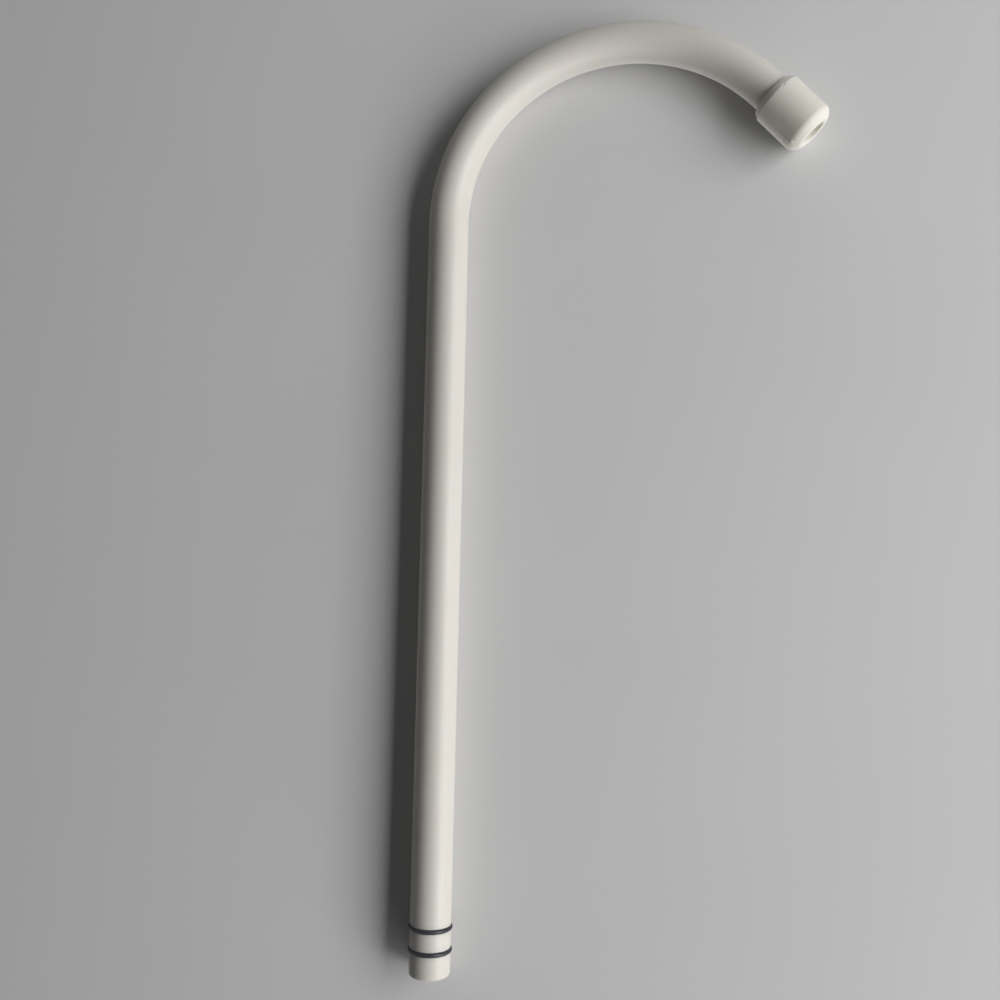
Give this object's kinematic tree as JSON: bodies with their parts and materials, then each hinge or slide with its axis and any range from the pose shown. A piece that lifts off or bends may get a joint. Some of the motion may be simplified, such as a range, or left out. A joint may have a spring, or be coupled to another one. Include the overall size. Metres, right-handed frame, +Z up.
{
  "type": "water filter spout",
  "caption": "Swan-neck plastic spout for a countertop water filter: its ringed foot plugs into the filter head and a pull-off nozzle straightens the stream.",
  "frame": {"origin": "centre of the foot's end face, on the line that the spout swivels about", "axes": "+Z up the straight tube from the foot, +X from the tube towards the outlet, the whole swan neck in the XZ plane"},
  "size_m": [0.12, 0.016, 0.2855],
  "materials": {
    "tube_plastic": "satin white moulded plastic",
    "nozzle_plastic": "fine matt cream white moulded plastic",
    "straightener_plastic": "plain white moulded plastic",
    "seal_rubber": "black moulded rubber with a slight sheen"
  },
  "bodies": {
    "spout": {"spout_tube": "tube_plastic", "o_ring_lower": "seal_rubber", "o_ring_upper": "seal_rubber", "nozzle_o_ring": "seal_rubber"},
    "nozzle": {"nozzle_cap": "nozzle_plastic", "flow_straightener": "straightener_plastic"}
  },
  "joints": [
    {"name": "nozzle_pull_off", "type": "slide", "parent": "spout", "child": "nozzle", "axis": [0.6947, 0, -0.7193], "range_m": [0, 0.012]}
  ]
}
